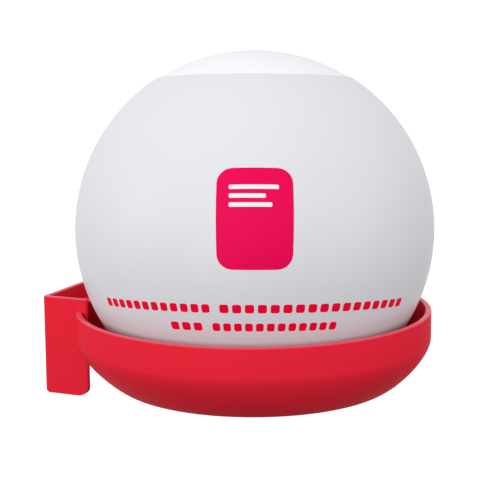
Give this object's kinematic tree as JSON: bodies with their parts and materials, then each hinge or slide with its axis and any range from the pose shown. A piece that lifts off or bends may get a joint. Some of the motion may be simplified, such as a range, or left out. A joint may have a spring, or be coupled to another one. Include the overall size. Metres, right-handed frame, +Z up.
{
  "type": "fire extinguisher ball",
  "caption": "White fire extinguisher ball with a printed film sleeve, resting in a red dish-shaped wall holder.",
  "frame": {"origin": "middle of the wall plate's back face, on the wall", "axes": "+Y into the wall, -Y into the room, +Z up, +X along the wall"},
  "size_m": [0.15, 0.1569, 0.149],
  "materials": {
    "red_plastic": "moulded ABS, glossy red",
    "pvc_film": "white PVC shrink film with red print",
    "eps_foam": "white moulded EPS foam",
    "dry_powder": "packed dry extinguishing powder",
    "wound_card": "wound brown card",
    "plug_plastic": "natural polyethylene",
    "black_powder": "pressed dark grains",
    "fuse_cord": "green lacquered braid"
  },
  "bodies": {
    "root": {"wall_holder": "red_plastic", "film_sleeve": "pvc_film", "upper_foam_shell": "eps_foam", "lower_foam_shell": "eps_foam", "powder_charge": "dry_powder", "burster_tube": "wound_card", "burster_top_plug": "plug_plastic", "burster_bottom_plug": "plug_plastic", "burst_charge": "black_powder", "fuse_ring": "fuse_cord", "fuse_lead_left": "fuse_cord", "fuse_lead_right": "fuse_cord"}
  },
  "joints": []
}
